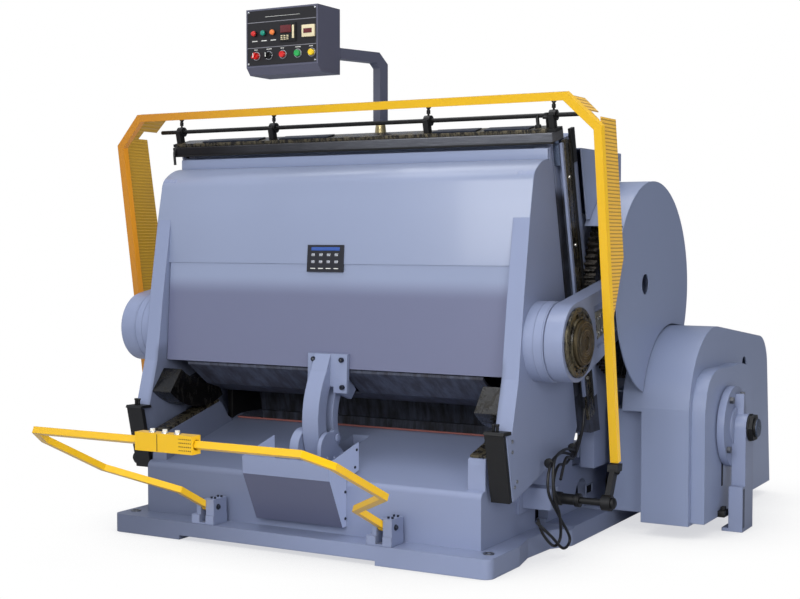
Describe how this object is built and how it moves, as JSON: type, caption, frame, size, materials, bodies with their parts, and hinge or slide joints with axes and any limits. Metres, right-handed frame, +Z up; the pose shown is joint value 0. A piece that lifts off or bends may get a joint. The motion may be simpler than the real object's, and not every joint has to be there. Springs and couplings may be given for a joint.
{
  "type": "platen die cutting press",
  "caption": "Floor-standing platen press for die cutting and creasing: rocking platen driven by connecting rods and gears, with guards and a swivelling control box.",
  "frame": {"origin": "on the floor, at the centre of the rectangle of four anchor holes", "axes": "+X to the right of the operator, +Y to the rear of the machine, +Z up"},
  "size_m": [2.99, 3.48, 2.457],
  "materials": {
    "machine_paint": "satin",
    "greased_steel": "oily",
    "bronze": "machined",
    "rail_steel": "ground",
    "black_steel": "satin black",
    "chase_steel": "ground",
    "plywood": "raw",
    "plate_steel": "polished",
    "sheet_paint": "gloss",
    "black_rubber": "matte",
    "gear_iron": "greased",
    "motor_paint": "satin",
    "bolt_steel": "zinc",
    "guard_yellow": "gloss",
    "white_plastic": "gloss",
    "panel_black": "satin",
    "switch_alloy": "cast",
    "collar_brass": "satin",
    "lamp_plastic": "lens",
    "red_plastic": "gloss",
    "black_plastic": "gloss",
    "green_plastic": "gloss",
    "yellow_plastic": "gloss"
  },
  "bodies": {
    "frame": {"base": "machine_paint", "bearing_pedestal": "machine_paint", "bed": "machine_paint", "cables": "black_rubber", "chute_cover": "sheet_paint", "clamp_rod": "black_steel", "die_board": "plywood", "die_chase": "chase_steel", "fixing_bolts": "bolt_steel", "flywheel_cover": "sheet_paint", "gear_covers": "sheet_paint", "guard_bearings": "machine_paint", "guide_bracket": "machine_paint", "limit_switch": "switch_alloy", "motor": "motor_paint", "pole_collar": "collar_brass", "rear_housing": "sheet_paint", "rocker_rails": "greased_steel", "shaft_bearings": "bronze", "side_frames": "machine_paint", "top_clamp_rail": "rail_steel", "trip_bar_blocks": "machine_paint", "v_belts": "black_rubber"},
    "rods": {"connecting_rods": "machine_paint", "trunnion_rings": "greased_steel"},
    "platen": {"platen_casting": "machine_paint", "trunnion_pins": "bronze", "cutting_plate": "plate_steel", "platen_cover": "sheet_paint", "rockers": "greased_steel", "leg_pads": "black_rubber", "guide_arm": "machine_paint", "small_panel": "panel_black"},
    "crankshaft": {"main_shaft": "greased_steel", "crank_gears": "gear_iron"},
    "countershaft": {"counter_shaft": "gear_iron"},
    "clutch": {"clutch_shaft": "black_steel"},
    "flywheel": {"flywheel": "gear_iron"},
    "motor_rotor": {"motor_pulley": "gear_iron"},
    "guide_roller": {"guide_roller": "greased_steel"},
    "guard": {"guard_frame": "guard_yellow", "guard_wings": "guard_yellow", "guard_levers": "black_steel"},
    "trip_bar": {"trip_bar": "guard_yellow", "switch_box": "guard_yellow"},
    "control_arm": {"panel_pole": "machine_paint", "control_box": "machine_paint", "panel_lamps": "lamp_plastic"},
    "switch_button_1": {"switch_button_1": "white_plastic"},
    "switch_button_2": {"switch_button_2": "white_plastic"},
    "switch_button_3": {"switch_button_3": "white_plastic"},
    "red_button": {"red_button": "red_plastic"},
    "green_button": {"green_button": "green_plastic"},
    "yellow_button": {"yellow_button": "yellow_plastic"},
    "red_selector": {"red_selector": "red_plastic"},
    "black_selector": {"black_selector": "black_plastic"},
    "wing_screw_1": {"wing_screw_1": "black_steel"},
    "wing_screw_2": {"wing_screw_2": "black_steel"},
    "wing_screw_3": {"wing_screw_3": "black_steel"},
    "wing_screw_4": {"wing_screw_4": "black_steel"}
  },
  "joints": [
    {"name": "platen_travel", "type": "slide", "parent": "frame", "child": "rods", "axis": [0, -0.9703, -0.2419], "range_m": [0, 0.3]},
    {"name": "platen_rock", "type": "hinge", "parent": "rods", "child": "platen", "pos_m": [0, -0.54, 0.95], "axis": [1, 0, 0], "range_deg": [0, 44.35]},
    {"name": "crankshaft_turn", "type": "hinge", "parent": "frame", "child": "crankshaft", "pos_m": [0, 0.30028, 1.1595], "axis": [1, 0, 0], "range_deg": [0, 180.1]},
    {"name": "countershaft_turn", "type": "hinge", "parent": "frame", "child": "countershaft", "pos_m": [0, 0.62844, 0.77567], "axis": [1, 0, 0], "range_deg": [-1034, 0]},
    {"name": "clutch_turn", "type": "hinge", "parent": "frame", "child": "clutch", "pos_m": [0, 0.54, 0.489], "axis": [1, 0, 0], "range_deg": [0, 3272]},
    {"name": "flywheel_spin", "type": "hinge", "parent": "frame", "child": "flywheel", "pos_m": [1.331, 0.54, 0.489], "axis": [1, 0, 0], "continuous": true},
    {"name": "motor_spin", "type": "hinge", "parent": "frame", "child": "motor_rotor", "pos_m": [1.331, 1.33, 0.33], "axis": [1, 0, 0], "continuous": true},
    {"name": "guide_roller_spin", "type": "hinge", "parent": "frame", "child": "guide_roller", "pos_m": [0, -0.691, 0.482], "axis": [1, 0, 0], "continuous": true},
    {"name": "guard_swing", "type": "hinge", "parent": "frame", "child": "guard", "pos_m": [0, -0.448, 0.256], "axis": [1, 0, 0], "range_deg": [-3, 12]},
    {"name": "trip_bar_swing", "type": "hinge", "parent": "frame", "child": "trip_bar", "pos_m": [0, -0.96, 0.165], "axis": [1, 0, 0], "range_deg": [-12, 14]},
    {"name": "control_arm_swivel", "type": "hinge", "parent": "frame", "child": "control_arm", "pos_m": [0.045, -0.252, 2], "axis": [0, 0, 1], "range_deg": [-70, 70]},
    {"name": "switch_button_1_press", "type": "slide", "parent": "trip_bar", "child": "switch_button_1", "axis": [0, 0, -1], "range_m": [0, 0.004], "stiffness_N_per_m": 400},
    {"name": "switch_button_2_press", "type": "slide", "parent": "trip_bar", "child": "switch_button_2", "axis": [0, 0, -1], "range_m": [0, 0.004], "stiffness_N_per_m": 400},
    {"name": "switch_button_3_press", "type": "slide", "parent": "trip_bar", "child": "switch_button_3", "axis": [0, 0, -1], "range_m": [0, 0.004], "stiffness_N_per_m": 400},
    {"name": "red_button_press", "type": "slide", "parent": "control_arm", "child": "red_button", "axis": [0, 1, 0], "range_m": [0, 0.005], "stiffness_N_per_m": 400},
    {"name": "green_button_press", "type": "slide", "parent": "control_arm", "child": "green_button", "axis": [0, 1, 0], "range_m": [0, 0.005], "stiffness_N_per_m": 400},
    {"name": "yellow_button_press", "type": "slide", "parent": "control_arm", "child": "yellow_button", "axis": [0, 1, 0], "range_m": [0, 0.005], "stiffness_N_per_m": 400},
    {"name": "red_selector_turn", "type": "hinge", "parent": "control_arm", "child": "red_selector", "pos_m": [-0.352, -0.712, 2.24], "axis": [0, 1, 0], "range_deg": [-45, 45]},
    {"name": "black_selector_turn", "type": "hinge", "parent": "control_arm", "child": "black_selector", "pos_m": [-0.283, -0.712, 2.24], "axis": [0, 1, 0], "range_deg": [-45, 45]},
    {"name": "wing_screw_1_turn", "type": "hinge", "parent": "frame", "child": "wing_screw_1", "pos_m": [-1.02, -0.426, 1.95], "axis": [0, 0, 1], "range_deg": [-180, 180]},
    {"name": "wing_screw_2_turn", "type": "hinge", "parent": "frame", "child": "wing_screw_2", "pos_m": [-0.455, -0.426, 1.95], "axis": [0, 0, 1], "range_deg": [-180, 180]},
    {"name": "wing_screw_3_turn", "type": "hinge", "parent": "frame", "child": "wing_screw_3", "pos_m": [0.4, -0.426, 1.95], "axis": [0, 0, 1], "range_deg": [-180, 180]},
    {"name": "wing_screw_4_turn", "type": "hinge", "parent": "frame", "child": "wing_screw_4", "pos_m": [1.02, -0.426, 1.95], "axis": [0, 0, 1], "range_deg": [-180, 180]}
  ],
  "couplings": [
    {"joint": "platen_rock", "follows": "platen_travel", "rad_per_m": 2.5773},
    {"joint": "crankshaft_turn", "follows": "platen_travel", "rad_per_m": 10.472},
    {"joint": "countershaft_turn", "follows": "platen_travel", "rad_per_m": -60.039},
    {"joint": "clutch_turn", "follows": "platen_travel", "rad_per_m": 190.12},
    {"joint": "motor_spin", "follows": "flywheel_spin", "ratio": 4.1176}
  ]
}
